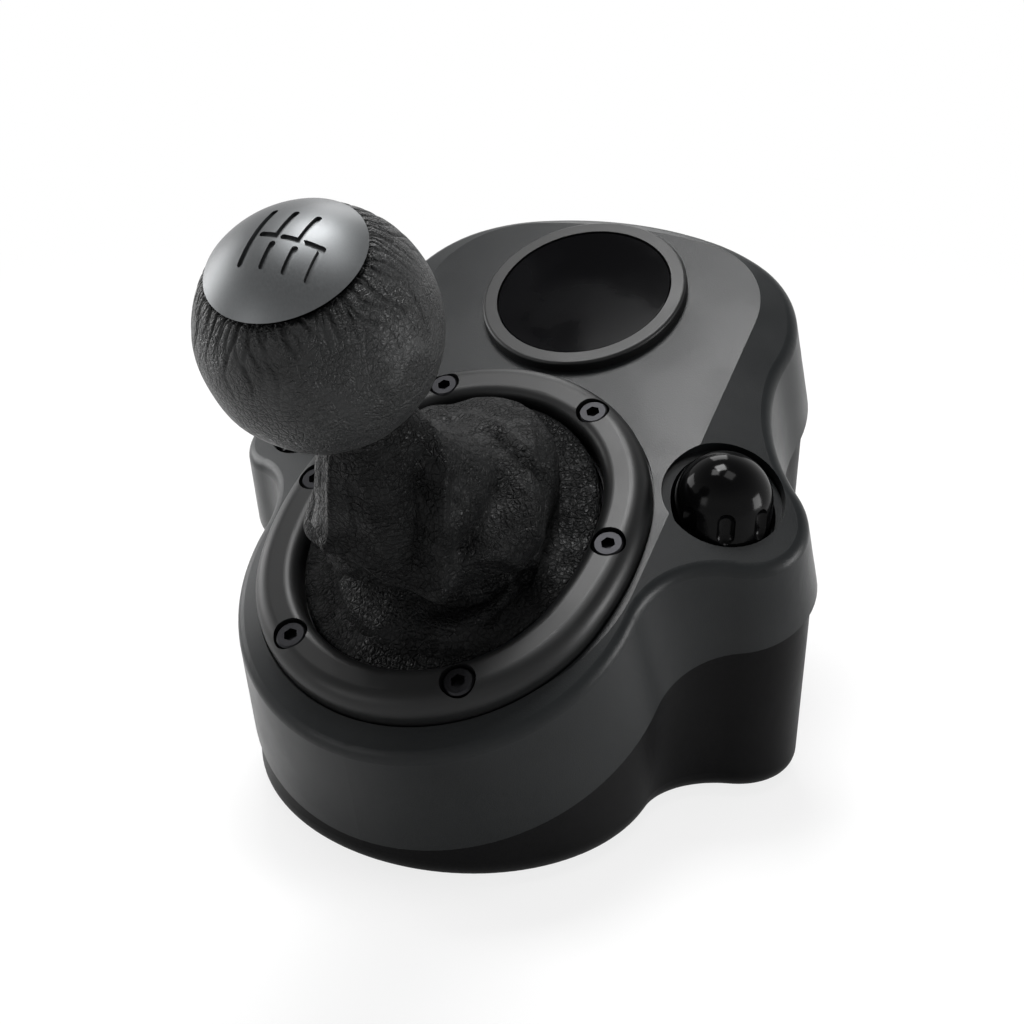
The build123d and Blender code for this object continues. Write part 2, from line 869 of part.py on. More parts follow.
def yoke_half_width():
    """Half of the yoke's outer width."""
    return block_width / 2 + yoke_gap + yoke_side


def yoke_half_depth():
    """Half of the yoke's outer depth."""
    return block_depth / 2 + yoke_room + yoke_end


def gimbal_yoke():
    """Frame that tilts sideways on two trunnions."""
    yoke = Box(2 * yoke_half_width(), 2 * yoke_half_depth(), yoke_height)
    yoke = fillet(yoke.edges().filter_by(Axis.Z), yoke_fillet)
    yoke -= Box(block_width + 2 * yoke_gap, block_depth + 2 * yoke_room,
                yoke_height + overrun)
    yoke -= Rot(0, 90, 0) * Cylinder(pin_radius + running_gap,
                                     2 * yoke_half_width() + overrun)
    end = yoke_half_depth() + bearing_gap + bearing_width
    trunnion = Rot(-90, 0, 0) * rod(trunnion_radius, yoke_half_depth() - overrun, end)
    yoke += trunnion + trunnion.mirror(Plane.XZ)
    return on_lever(yoke)


def yoke_bushes():
    """Plain bushes of the yoke's trunnions."""
    near = yoke_half_depth() + bearing_gap
    bush = rod(trunnion_radius + running_gap + bush_wall, near, near + bearing_width)
    bush -= rod(trunnion_radius + running_gap, 0, near + bearing_width + overrun)
    front = Rot(90, 0, 0) * bush
    return Compound([on_lever(front), on_lever(front.mirror(Plane.XZ))])


def spring_place(side):
    """Axis of a centring spring, drawn about the pivot."""
    return Pos(side * (yoke_half_width() - yoke_side / 2), 0, 0)


def above_floor():
    """Everything above the floor of the lower shell."""
    return Pos(0, 0, floor_z) * Box(reach, reach, reach,
                                    align=(Align.CENTER, Align.CENTER, Align.MIN))


def gimbal_frame():
    """Floor plate with two inclined bearing walls and the spring posts."""
    frame = span_box(-plate_half_width, plate_half_width, pivot_y - plate_front,
                     pivot_y + plate_rear, floor_z, floor_z + plate_thickness)
    window = plate_window_width / 2
    frame -= span_box(-window, window, pivot_y - plate_window_front,
                      pivot_y + plate_window_rear, 0, floor_z * 2)
    bush_hole = trunnion_radius + running_gap + bush_wall + press_gap
    near = yoke_half_depth() + bearing_gap
    for side in (1, -1):
        wall = Pos(0, side * (near + bearing_width / 2), bearing_top) * Box(
            2 * bearing_half, bearing_width, reach, align=(Align.CENTER, Align.CENTER, Align.MAX))
        wall -= Rot(90, 0, 0) * Cylinder(bush_hole, reach)
        frame += on_lever(wall) & above_floor()
        seat = -yoke_height / 2 - spring_length - 2 * seat_gap
        post = spring_place(side) * rod(spring_post_radius, -reach, seat)
        frame += on_lever(post) & above_floor()
    for x, y in gimbal_screw_places():
        frame -= upright(x, y, 0, m3_radius + m3_hole_gap, reach)
    return frame


def screw(radius, head_radius, head_height, length):
    """A pan head screw, with the underside of its head at the origin."""
    head = rod(head_radius, 0, head_height)
    head = chamfer(head.edges().sort_by(Axis.Z)[-1], head_height / 3)
    return head + rod(radius, -length, 0)


def gimbal_screws():
    """Four screws of the gimbal frame."""
    length = plate_thickness + gimbal_screw_bite - seat_gap
    one = screw(m3_radius, m3_head_radius, m3_head_height, length)
    return Compound([Pos(x, y, floor_z + plate_thickness) * one
                     for x, y in gimbal_screw_places()])


def coil_sleeve(radius, wire, low, high):
    """Envelope of a hidden coil spring."""
    return rod(radius, low, high) - rod(radius - wire, low - overrun, high + overrun)


def centring_springs():
    """Two springs that bring the lever back to the middle lane."""
    top = -yoke_height / 2 - seat_gap
    one = coil_sleeve(spring_radius, spring_wire, top - spring_length, top)
    return Compound([on_lever(spring_place(side) * one) for side in (1, -1)])


def push_spring():
    """Spring that lifts the lever again after reverse."""
    low = block_height / 2 + seat_gap
    return on_lever(coil_sleeve(push_spring_radius, push_spring_wire, low,
                                low + push_spring_length))


def push_collar():
    """Collar on the lever that the push spring bears on."""
    low = block_height / 2 + 2 * seat_gap + push_spring_length
    collar = rod(push_collar_radius, low, low + push_collar_height)
    return on_lever(collar - rod(shaft_radius + press_gap, 0, reach))


def shaft_clip():
    """Clip under the tilt block that stops the lever from rising."""
    top = -block_height / 2 - seat_gap
    clip = rod(clip_radius, top - clip_height, top)
    return on_lever(clip - rod(shaft_radius + press_gap, -reach, reach))


def sensor_box():
    """Housing of a position sensor, with its back face at the origin."""
    box = Pos(0, 0, sensor_depth / 2) * Box(sensor_size, sensor_size, sensor_depth)
    return fillet(box.edges().filter_by(Axis.Z), sensor_fillet)


def side_sensor():
    """Sensor of the side tilt, on the rear bearing wall."""
    back = yoke_half_depth() + bearing_gap + bearing_width + seat_gap
    return on_lever(Pos(0, back, 0) * Rot(-90, 0, 0) * sensor_box())


def tilt_sensor():
    """Sensor of the fore and aft tilt, on the yoke's right side."""
    return on_lever(Pos(yoke_half_width() + seat_gap, 0, 0) * Rot(0, 90, 0) * sensor_box())


# Disc


def disc_bezel():
    """Raised bezel behind the ring."""
    bezel = Pos(0, 0, -bezel_floor) * Cylinder(
        bezel_radius - disc_gap * 4, bezel_floor + overrun,
        align=(Align.CENTER, Align.CENTER, Align.MIN))
    bezel += rod(bezel_radius, 0, bezel_rise)
    bezel = fillet(bezel.edges().sort_by(Axis.Z)[-1], bezel_fillet)
    bezel -= rod(disc_radius + disc_gap, bezel_rise - disc_sunk - disc_thickness, reach)
    return deck.location * Pos(0, disc_centre_v, 0) * bezel


def disc_plate():
    """Gloss disc in the bezel."""
    top = bezel_rise - disc_sunk
    plate = rod(disc_radius, top - disc_thickness, top)
    plate = fillet(plate.edges().sort_by(Axis.Z)[-1], disc_gap)
    return deck.location * Pos(0, disc_centre_v, 0) * plate


# Clamps


def knob_base_z(side):
    """Height of a clamp knob's lower face."""
    return well_point(side).Z - well_depth + knob_lift


def clamp_knob(side):
    """Domed knob with flutes round its rim."""
    outline = Polyline((0, knob_side + knob_radius), (0, 0), (knob_radius, 0),
                       (knob_radius, knob_side))
    outline += CenterArc((0, knob_side), knob_radius, 0, 90)
    knob = revolve(Plane.XZ * make_face(outline), Axis.Z)
    low = flute_base + flute_radius
    high = knob_side - flute_reach
    flute = rod(flute_radius, low, high)
    flute += Pos(0, 0, high) * Sphere(flute_radius) + Pos(0, 0, low) * Sphere(flute_radius)
    for index in range(flute_count):
        turn = Rot(0, 0, 360 * (index + 0.5) / flute_count)
        knob -= turn * Pos(knob_radius + flute_radius - flute_bite, 0, 0) * flute
    knob -= rod(rod_radius + press_gap, -overrun, rod_spigot)
    middle = well_point(side)
    return Pos(middle.X, middle.Y, knob_base_z(side)) * knob


def clamp_rod(side):
    """Screw that hangs from a clamp knob and drives a jaw."""
    middle = well_point(side)
    base = knob_base_z(side)
    shaft = upright(middle.X, middle.Y, rod_end_height, rod_radius,
                    base + rod_spigot - rod_end_height)
    collar_top = middle.Z - well_depth - well_wall - seat_gap
    return shaft + upright(middle.X, middle.Y, collar_top - rod_collar_height,
                           rod_collar_radius, rod_collar_height)


def clamp_jaw(side):
    """Jaw with its square post and the foot that grips under a table."""
    middle = well_point(side)
    low = foot_height + seat_gap
    foot = jaw_boxes(side, 0, low + jaw_foot_height)
    post = Pos(middle.X, middle.Y, low) * Box(
        jaw_post, jaw_post, jaw_post_height, align=(Align.CENTER, Align.CENTER, Align.MIN))
    bore = upright(middle.X, middle.Y, rod_end_height - thread_gap - overrun,
                   rod_radius + thread_gap, reach)
    return foot + post - bore


def jaw_pad(side):
    """Rubber pad on a jaw's foot."""
    middle = well_point(side)
    half = jaw_post / 2
    outer = middle.X
    inner = middle.X - side * (jaw_foot_width - half)
    front = middle.Y + half + jaw_pad_inset
    rear = middle.Y - half + jaw_foot_reach - jaw_pad_inset
    low = foot_height + seat_gap + jaw_foot_height
    return span_box(inner + side * jaw_pad_inset, outer - side * jaw_pad_inset,
                    front, rear, low, low + jaw_pad_thickness)


# Fastenings and electrics of the lower shell


def case_screws():
    """Screws that draw the two shells together."""
    length = case_screw_grip + case_screw_bite
    one = Rot(180, 0, 0) * screw(m3_radius, m3_head_radius, m3_head_height, length)
    return Compound([Pos(x, y, parting_height(y) - case_screw_grip) * one
                     for x, y in tower_places()])


def rubber_feet():
    """Rubber feet sunk in the base."""
    one = rod(rubber_radius, 0, foot_height + rubber_sunk)
    one = chamfer(one.edges().sort_by(Axis.Z)[0], foot_height / 3)
    return Compound([Pos(x, y, 0) * one for x, y in foot_places()])


def mount_inserts():
    """Brass inserts with M6 threads for hard mounting."""
    one = rod(insert_radius, 0, insert_length) - rod(insert_bore, -overrun, reach)
    return Compound([Pos(x, y, foot_height) * one for x, y in both_sides(insert_place)])


def circuit_board():
    """Board with its controller and the header of the sensor leads."""
    low = foot_height + base_thickness + board_lift
    board = Box(board_width, board_depth, board_thickness,
                align=(Align.CENTER, Align.CENTER, Align.MIN))
    board += Pos(0, 0, board_thickness) * Box(
        chip_size, chip_size, chip_height, align=(Align.CENTER, Align.CENTER, Align.MIN))
    board += Pos(0, header_depth - board_depth / 2, board_thickness) * Box(
        header_width, header_depth, header_height,
        align=(Align.CENTER, Align.CENTER, Align.MIN))
    return Pos(0, deck_y + board_middle_y, low) * board


def cable_socket():
    """Socket for the cable's plug in the rear wall."""
    mouth = socket_middle()
    body = Box(socket_width, socket_depth, socket_height)
    body = fillet(body.edges().filter_by(Axis.Y), socket_fillet)
    cavity = Box(socket_width - 2 * socket_wall, socket_cavity,
                 socket_height - 2 * socket_wall)
    cavity = fillet(cavity.edges().filter_by(Axis.Y), socket_fillet - socket_wall / 2)
    body -= Pos(0, (socket_depth - socket_cavity) / 2 + overrun, 0) * cavity
    return Pos(mouth.X, mouth.Y - socket_sunk - socket_depth / 2, mouth.Z) * body


nodes = {
    "upper_shell": upper_shell(),
    "lower_shell": lower_shell(),
    "gaiter_ring": gaiter_ring(),
    "ring_screws": ring_screws(),
    "gaiter": gaiter(),
    "gaiter_frame": gaiter_frame(),
    "gate_plate": gate_plate(),
    "disc_bezel": disc_bezel(),
    "disc_plate": disc_plate(),
    "lever_shaft": lever_shaft(),
    "knob_core": knob_core(),
    "knob_leather": knob_leather(),
    "knob_cap": knob_cap(),
    "knob_nut": knob_nut(),
    "tilt_block": tilt_block(),
    "tilt_pins": tilt_pins(),
    "gimbal_yoke": gimbal_yoke(),
    "yoke_bushes": yoke_bushes(),
    "gimbal_frame": gimbal_frame(),
    "gimbal_screws": gimbal_screws(),
    "centring_springs": centring_springs(),
    "push_spring": push_spring(),
    "push_collar": push_collar(),
    "shaft_clip": shaft_clip(),
    "side_sensor": side_sensor(),
    "tilt_sensor": tilt_sensor(),
    "case_screws": case_screws(),
    "rubber_feet": rubber_feet(),
    "mount_inserts": mount_inserts(),
    "circuit_board": circuit_board(),
    "cable_socket": cable_socket(),
}
for name, side in (("right", 1), ("left", -1)):
    nodes["clamp_knob_" + name] = clamp_knob(side)
    nodes["clamp_rod_" + name] = clamp_rod(side)
    nodes["clamp_jaw_" + name] = clamp_jaw(side)
    nodes["jaw_pad_" + name] = jaw_pad(side)

for node_name, shape in nodes.items():
    export_step(shape, "parts/" + node_name + ".step")
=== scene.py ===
# %% [markdown]
# # A sim racing gear shifter
# The object is a dark moulded housing on a table. A leather ball on a leaning lever
# rises out of a folded leather gaiter, which a screwed ring holds. The measured
# solids come in as a fixed frame, and this lesson gives them their looks.

# %% Load the frame
import math
import bmesh
import bpy
import numpy as np
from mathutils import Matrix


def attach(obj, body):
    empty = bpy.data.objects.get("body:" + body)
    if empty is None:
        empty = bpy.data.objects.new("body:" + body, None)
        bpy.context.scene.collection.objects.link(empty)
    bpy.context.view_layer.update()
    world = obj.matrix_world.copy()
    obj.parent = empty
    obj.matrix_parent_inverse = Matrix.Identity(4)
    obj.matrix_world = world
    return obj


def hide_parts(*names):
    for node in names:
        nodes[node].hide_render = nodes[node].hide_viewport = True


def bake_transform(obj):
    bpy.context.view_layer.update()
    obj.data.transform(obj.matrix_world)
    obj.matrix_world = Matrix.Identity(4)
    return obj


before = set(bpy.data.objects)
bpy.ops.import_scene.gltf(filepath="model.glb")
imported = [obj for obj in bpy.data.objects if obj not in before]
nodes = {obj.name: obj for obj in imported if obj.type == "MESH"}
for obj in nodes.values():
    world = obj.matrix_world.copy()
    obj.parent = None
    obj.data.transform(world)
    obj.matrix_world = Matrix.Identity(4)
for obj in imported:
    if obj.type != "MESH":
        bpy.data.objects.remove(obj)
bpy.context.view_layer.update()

# %% [markdown]
# ## The camera
# The camera stands in front of the shifter, to its right and above it. A lens of
# 49 mm on a 36 mm sensor from a third of a metre away gives the strong perspective
# of a small product photograph.

# %% Place the camera
# Distances are in metres, and the two angles in degrees.
LENS_MM = 49.2
SENSOR_MM = 36.0
NEAREST_SEEN = 0.01
CAMERA_PLACE = (0.1452, -0.2803, 0.2170)
LOOK_DOWN = 25.85
LOOK_LEFT = 26.61


def add_camera():
    """A camera at the photograph's viewpoint."""
    data = bpy.data.cameras.new("photo_camera")
    data.lens = LENS_MM
    data.sensor_width = SENSOR_MM
    data.clip_start = NEAREST_SEEN
    camera = bpy.data.objects.new("photo_camera", data)
    camera.location = CAMERA_PLACE
    camera.rotation_euler = (math.radians(90 - LOOK_DOWN), 0, math.radians(LOOK_LEFT))
    bpy.context.collection.objects.link(camera)
    bpy.context.scene.camera = camera
    return camera


camera = add_camera()
print("camera at", tuple(camera.location))

# %% [markdown]
# ## The deck and the lever
# Most shapes are easier to write in the directions of the part that carries them.
# The deck leans 26.9 degrees towards the driver, and the lever 3.6 degrees more.
# Each of these frames is an origin and three unit directions.

# %% Frames of the deck and the lever
MM = 0.001
DECK_LEAN = math.radians(26.9)
LEVER_LEAN = math.radians(30.5)
DECK_ORIGIN = np.array([0.0, -0.027208, 0.064])
PIVOT = np.array([0.0, -0.0074366, 0.0250284])
PIVOT_TO_BALL = 0.1256


def leaning_frame(lean):
    """Columns: to the right, up the slope, and square to the plane."""
    c, s = math.cos(lean), math.sin(lean)
    return np.array([[1, 0, 0], [0, c, -s], [0, s, c]])


def place(points, origin, axes):
    """Points in mm in a leaning frame become metres in the object's frame."""
    return points * MM @ axes.T + origin


DECK = leaning_frame(DECK_LEAN)
LEVER = leaning_frame(LEVER_LEAN)
BALL = PIVOT + LEVER[:, 2] * PIVOT_TO_BALL
print("ball centre", BALL.round(4))

# %% [markdown]
# ## Meshes from grids
# A surface here is a function of two parameters, worked out for a whole grid at
# once. The grid's points become vertices, and each cell becomes a quad.

# %% Grid to mesh
def grid_faces(rows, columns, around):
    """Quads between neighbouring rows and columns; the last column meets the first."""
    steps = columns if around else columns - 1
    r, c = np.meshgrid(np.arange(rows - 1), np.arange(steps), indexing="ij")
    n = (c + 1) % columns
    quads = np.stack([r * columns + c, r * columns + n,
                      (r + 1) * columns + n, (r + 1) * columns + c], axis=-1)
    return quads.reshape(-1, 4)


def make_mesh(name, points, faces, material, smooth=True):
    """A mesh object from an array of points (in metres) and a list of faces."""
    mesh = bpy.data.meshes.new(name)
    mesh.from_pydata(points.reshape(-1, 3).tolist(), [], faces)
    mesh.materials.append(material)
    mesh.polygons.foreach_set("use_smooth", np.full(len(mesh.polygons), smooth))
    mesh.update()
    piece = bpy.data.objects.new(name, mesh)
    bpy.context.collection.objects.link(piece)
    return piece


# %% [markdown]
# ## Materials
# Moulded plastic has a fine spark-eroded texture, leather has grain that is made of
# small cells with creases between them, and metal has fine scratches. These three
# effects are shader node groups, so that each material can use them at its own size.

# %% Shader helpers
def new_group(name, inputs, outputs):
    """A shader node group with float inputs and the given outputs."""
    group = bpy.data.node_groups.new(name, "ShaderNodeTree")
    for label, value in inputs:
        socket = group.interface.new_socket(label, in_out="INPUT", socket_type="NodeSocketFloat")
        socket.default_value = value
    for label, kind in outputs:
        group.interface.new_socket(label, in_out="OUTPUT", socket_type=kind)
    start = group.nodes.new("NodeGroupInput")
    end = group.nodes.new("NodeGroupOutput")
    return group, start, end


def node(tree, kind, **values):
    """A node with its properties and its unlinked inputs set."""
    made = tree.nodes.new(kind)
    for key, value in values.items():
        if hasattr(made, key):
            setattr(made, key, value)
        else:
            made.inputs[key.replace("_", " ").title()].default_value = value
    return made


def maths(tree, operation, a, b):
    """A Math node whose inputs are links or numbers."""
    made = node(tree, "ShaderNodeMath", operation=operation)
    for socket, value in zip(made.inputs, (a, b)):
        if isinstance(value, (int, float)):
            socket.default_value = value
        else:
            tree.links.new(value, socket)
    return made.outputs[0]


def ramp(tree, value, low, high, out_low=0.0, out_high=1.0):
    """A smooth step from out_low at low to out_high at high."""
    made = node(tree, "ShaderNodeMapRange", interpolation_type="SMOOTHSTEP")
    for label, number in (("From Min", low), ("From Max", high),
                          ("To Min", out_low), ("To Max", out_high)):
        made.inputs[label].default_value = number
    tree.links.new(value, made.inputs["Value"])
    return made.outputs["Result"]


# %% Plastic texture group
def plastic_texture_group():
    """Fine pebbled texture: small noise makes the height, wide noise the stains."""
    group, start, end = new_group(
        "Moulded texture", [("Grain size", 0.0004), ("Depth", 0.5)],
        [("Normal", "NodeSocketVector"), ("Patches", "NodeSocketFloat")])
    coordinates = node(group, "ShaderNodeTexCoord")
    frequency = maths(group, "DIVIDE", 1.0, start.outputs["Grain size"])
    fine = node(group, "ShaderNodeTexNoise", detail=3.0, roughness=0.6)
    group.links.new(coordinates.outputs["Object"], fine.inputs["Vector"])
    group.links.new(frequency, fine.inputs["Scale"])
    wide = node(group, "ShaderNodeTexNoise", scale=38.0, detail=4.0)
    group.links.new(coordinates.outputs["Object"], wide.inputs["Vector"])
    bump = node(group, "ShaderNodeBump", distance=0.00006)
    group.links.new(start.outputs["Depth"], bump.inputs["Strength"])
    group.links.new(fine.outputs["Fac"], bump.inputs["Height"])
    group.links.new(bump.outputs["Normal"], end.inputs["Normal"])
    patches = ramp(group, wide.outputs["Fac"], 0.35, 0.65)
    group.links.new(patches, end.inputs["Patches"])
    return group


PLASTIC_TEXTURE = plastic_texture_group()

# %% Leather grain group
# The warp is in metres; each layer has its fineness and its weight.
GRAIN_WARP = 0.0009
GRAIN_LAYERS = ((1.0, 0.7), (2.3, 0.3))
CREASE_WIDTH = 0.2


def leather_grain_group():
    """Layers of warped cells: high in the middle of a cell, and low along its edges."""
    group, start, end = new_group(
        "Leather grain", [("Cell size", 0.0012), ("Depth", 1.0)],
        [("Height", "NodeSocketFloat"), ("Creases", "NodeSocketFloat")])
    coordinates = node(group, "ShaderNodeTexCoord")
    warp = node(group, "ShaderNodeTexNoise", scale=420.0, detail=2.0)
    group.links.new(coordinates.outputs["Object"], warp.inputs["Vector"])
    amount = node(group, "ShaderNodeVectorMath", operation="MULTIPLY_ADD")
    amount.inputs[1].default_value = (GRAIN_WARP, GRAIN_WARP, GRAIN_WARP)
    group.links.new(warp.outputs["Color"], amount.inputs[0])
    group.links.new(coordinates.outputs["Object"], amount.inputs[2])
    frequency = maths(group, "DIVIDE", 1.0, start.outputs["Cell size"])
    total = None
    for share, weight in GRAIN_LAYERS:
        cells = node(group, "ShaderNodeTexVoronoi", feature="DISTANCE_TO_EDGE")
        group.links.new(amount.outputs[0], cells.inputs["Vector"])
        group.links.new(maths(group, "MULTIPLY", frequency, share), cells.inputs["Scale"])
        flank = ramp(group, cells.outputs["Distance"], 0.0, CREASE_WIDTH)
        step = maths(group, "MULTIPLY", flank, weight)
        total = step if total is None else maths(group, "ADD", total, step)
    wide = node(group, "ShaderNodeTexNoise", scale=160.0, detail=3.0)
    group.links.new(coordinates.outputs["Object"], wide.inputs["Vector"])
    swing = ramp(group, wide.outputs["Fac"], 0.36, 0.62, 0.3, 1.15)
    depth = maths(group, "MULTIPLY", swing, start.outputs["Depth"])
    group.links.new(maths(group, "MULTIPLY", total, depth), end.inputs["Height"])
    group.links.new(maths(group, "SUBTRACT", 1.0, total), end.inputs["Creases"])
    return group


LEATHER_GRAIN = leather_grain_group()

# %% Metal scratches group
def metal_scratches_group():
    """Fine noise stretched along Z gives short scratches and uneven gloss."""
    group, start, end = new_group(
        "Metal scratches", [("Depth", 0.3)],
        [("Normal", "NodeSocketVector"), ("Streaks", "NodeSocketFloat")])
    coordinates = node(group, "ShaderNodeTexCoord")
    stretch = node(group, "ShaderNodeMapping", scale=(1.0, 1.0, 0.12))
    group.links.new(coordinates.outputs["Object"], stretch.inputs["Vector"])
    streaks = node(group, "ShaderNodeTexNoise", scale=3200.0, detail=3.0)
    group.links.new(stretch.outputs["Vector"], streaks.inputs["Vector"])
    bump = node(group, "ShaderNodeBump", distance=0.00003)
    group.links.new(start.outputs["Depth"], bump.inputs["Strength"])
    group.links.new(streaks.outputs["Fac"], bump.inputs["Height"])
    group.links.new(bump.outputs["Normal"], end.inputs["Normal"])
    group.links.new(streaks.outputs["Fac"], end.inputs["Streaks"])
    return group


METAL_SCRATCHES = metal_scratches_group()

# %% [markdown]
# ## Finishes
# Each finish starts from a Principled shader. A mix of two close colours, driven by
# a mask of the group, keeps a wide surface from looking like one flat colour.

# %% Finish builders
# How far the roughness swings on each stuff, how deep a marked crease goes beside the
# grain, and how much of a marked crease's darkness, which is painted shade, the grain's
# own creases have.
PLASTIC_SWING = 0.03
METAL_SWING = 0.06
CREASE_SWING = 0.25
MARKED_DEPTH = 0.9
GRAIN_SHADE = 0.6


def principled(name, **values):
    """A material with a Principled shader and its constant sockets set."""
    material = bpy.data.materials.new(name)
    material.use_nodes = True
    shader = material.node_tree.nodes["Principled BSDF"]
    for key, value in values.items():
        shader.inputs[key.replace("_", " ").title().replace("Ior", "IOR")].default_value = value
    return material, material.node_tree, shader


def place_group(tree, group, **values):
    """A group node in a material, with its own values."""
    made = node(tree, "ShaderNodeGroup", node_tree=group)
    for key, value in values.items():
        made.inputs[key.replace("_", " ").capitalize()].default_value = value
    return made


def two_tone(tree, shader, mask, dark, pale):
    """Base colour that runs from dark to pale with a mask."""
    mix = node(tree, "ShaderNodeMix", data_type="RGBA")
    mix.inputs["A"].default_value = (*dark, 1.0)
    mix.inputs["B"].default_value = (*pale, 1.0)
    tree.links.new(mask, mix.inputs["Factor"])
    tree.links.new(mix.outputs["Result"], shader.inputs["Base Color"])


def rough_range(tree, shader, mask, low, high):
    """Roughness that runs from low to high with a mask."""
    tree.links.new(ramp(tree, mask, 0.0, 1.0, low, high), shader.inputs["Roughness"])


def plastic(name, dark, pale, rough, grain=0.0004, depth=0.5, level=0.5):
    """Moulded plastic with a fine texture."""
    material, tree, shader = principled(name, specular_ior_level=level)
    texture = place_group(tree, PLASTIC_TEXTURE, grain_size=grain, depth=depth)
    two_tone(tree, shader, texture.outputs["Patches"], dark, pale)
    rough_range(tree, shader, texture.outputs["Patches"],
                rough - PLASTIC_SWING, rough + PLASTIC_SWING)
    tree.links.new(texture.outputs["Normal"], shader.inputs["Normal"])
    return material


def metal(name, dark, pale, rough, depth=0.3):
    """Metal with fine scratches."""
    material, tree, shader = principled(name, metallic=1.0)
    texture = place_group(tree, METAL_SCRATCHES, depth=depth)
    two_tone(tree, shader, texture.outputs["Streaks"], dark, pale)
    rough_range(tree, shader, texture.outputs["Streaks"],
                rough - METAL_SWING, rough + METAL_SWING)
    tree.links.new(texture.outputs["Normal"], shader.inputs["Normal"])
    return material


def grained_leather(name, dark, pale, cell, depth, rough, level, attribute=None):
    """Leather whose grain is a bump; a named attribute darkens its creases with painted shade
    and flattens them.
    """
    material, tree, shader = principled(name, specular_ior_level=level)
    grain = place_group(tree, LEATHER_GRAIN, cell_size=cell)
    height, creases = grain.outputs["Height"], grain.outputs["Creases"]
    if attribute:
        # A marked crease deepens the bump, and its darkness is painted shade in the wrinkle
        # valleys.
        mask = node(tree, "ShaderNodeAttribute", attribute_name=attribute).outputs["Fac"]
        height = maths(tree, "SUBTRACT", height, maths(tree, "MULTIPLY", mask, MARKED_DEPTH))
        creases = maths(tree, "MAXIMUM", maths(tree, "MULTIPLY", creases, GRAIN_SHADE), mask)
    bump = node(tree, "ShaderNodeBump", strength=1.0, distance=depth)
    tree.links.new(height, bump.inputs["Height"])
    tree.links.new(bump.outputs["Normal"], shader.inputs["Normal"])
    two_tone(tree, shader, creases, pale, dark)
    rough_range(tree, shader, creases, rough, rough + CREASE_SWING)
    return material


# %% Make the finishes
finish = {
    "housing": plastic("housing_plastic", (0.0072, 0.0082, 0.0088), (0.0090, 0.0101, 0.0107),
                       0.34, grain=0.00035, depth=0.6, level=0.15),
    "base": plastic("base_plastic", (0.0030, 0.0030, 0.0032), (0.0042, 0.0042, 0.0045), 0.42,
                    level=0.06),
    "ring": plastic("ring_plastic", (0.0045, 0.0047, 0.0048), (0.006, 0.0062, 0.0064), 0.4,
                    depth=0.15, level=0.22),
    "disc": plastic("disc_gloss", (0.0012, 0.0012, 0.0015), (0.002, 0.002, 0.0024), 0.14,
                    grain=0.003, depth=0.02, level=0.03),
    "knob": plastic("knob_gloss", (0.0014, 0.0014, 0.0015), (0.002, 0.002, 0.0022), 0.13,
                    grain=0.003, depth=0.02, level=0.07),
    "cap": metal("cap_metal", (0.085, 0.088, 0.09), (0.11, 0.114, 0.117), 0.44, depth=0.15),
    "black_steel": metal("black_steel", (0.012, 0.012, 0.013), (0.024, 0.024, 0.026), 0.42),
    "zinc_steel": metal("zinc_steel", (0.42, 0.42, 0.43), (0.52, 0.52, 0.53), 0.3),
    "spring_steel": metal("spring_steel", (0.28, 0.28, 0.29), (0.36, 0.36, 0.37), 0.28),
    "brass": metal("insert_brass", (0.52, 0.36, 0.13), (0.62, 0.44, 0.18), 0.3),
    "bush": plastic("bush_plastic", (0.17, 0.17, 0.16), (0.22, 0.22, 0.2), 0.45),
    "rubber": plastic("foot_rubber", (0.006, 0.006, 0.006), (0.01, 0.01, 0.01), 0.75,
                      grain=0.0006, depth=0.8, level=0.2),
    "board": plastic("board_green", (0.012, 0.07, 0.026), (0.02, 0.10, 0.04), 0.35),
    "gaiter": grained_leather("gaiter_leather", (0.0018, 0.0019, 0.0020),
                              (0.0046, 0.0049, 0.0051), 0.0015, 0.0005, 0.34, level=0.1),
    "ball": grained_leather("ball_leather", (0.0030, 0.0033, 0.0034), (0.0052, 0.0058, 0.0061),
                            0.0012, 0.0003, 0.4, level=0.3, attribute="crease_and_painted_shade"),
}
print("finishes", sorted(finish))

# %% Put the finishes on the solids
wears = {
    "upper_shell": "housing", "lower_shell": "base", "gaiter_ring": "ring",
    "ring_screws": "black_steel", "gaiter": "gaiter", "gaiter_frame": "base",
    # The gate plate is blackened steel; its dark colour is also painted shade in the gap between
    # the gaiter and the ring.
    "gate_plate": "black_steel", "disc_bezel": "ring", "disc_plate": "disc",
    "yoke_bushes": "bush", "gimbal_frame": "bush", "gimbal_screws": "zinc_steel",
    "centring_springs": "spring_steel", "side_sensor": "base", "case_screws": "black_steel",
    "rubber_feet": "rubber", "mount_inserts": "brass", "circuit_board": "board",
    "cable_socket": "base", "gimbal_yoke": "bush", "tilt_sensor": "base",
    "tilt_block": "zinc_steel", "tilt_pins": "zinc_steel", "push_spring": "spring_steel",
    "lever_shaft": "zinc_steel", "knob_core": "base", "knob_leather": "ball",
    "knob_cap": "cap", "knob_nut": "black_steel", "push_collar": "zinc_steel",
    "shaft_clip": "spring_steel", "clamp_knob_right": "knob", "clamp_knob_left": "knob",
    "clamp_rod_right": "zinc_steel", "clamp_rod_left": "zinc_steel",
    "clamp_jaw_right": "base", "clamp_jaw_left": "base",
    "jaw_pad_right": "rubber", "jaw_pad_left": "rubber",
}


def dress(solid, material):
    """Gives every slot of a solid one material."""
    solid.data.materials.clear()
    solid.data.materials.append(material)


for name, solid in nodes.items():
    dress(solid, finish[wears[name]])
print("dressed", len(wears), "solids; missing", sorted(set(nodes) - set(wears)))

# %% [markdown]
# ## The leather of the ball
# Leather is drawn over a ball and gathered under the cap, so wrinkles run away from
# the cap's edge, and again towards the neck. The surface is a sphere in polar form.
# Its radius dips where the leather tucks in, and narrow valleys follow the lines from
# pole to pole. Each family of valleys has its own count, sway and length.

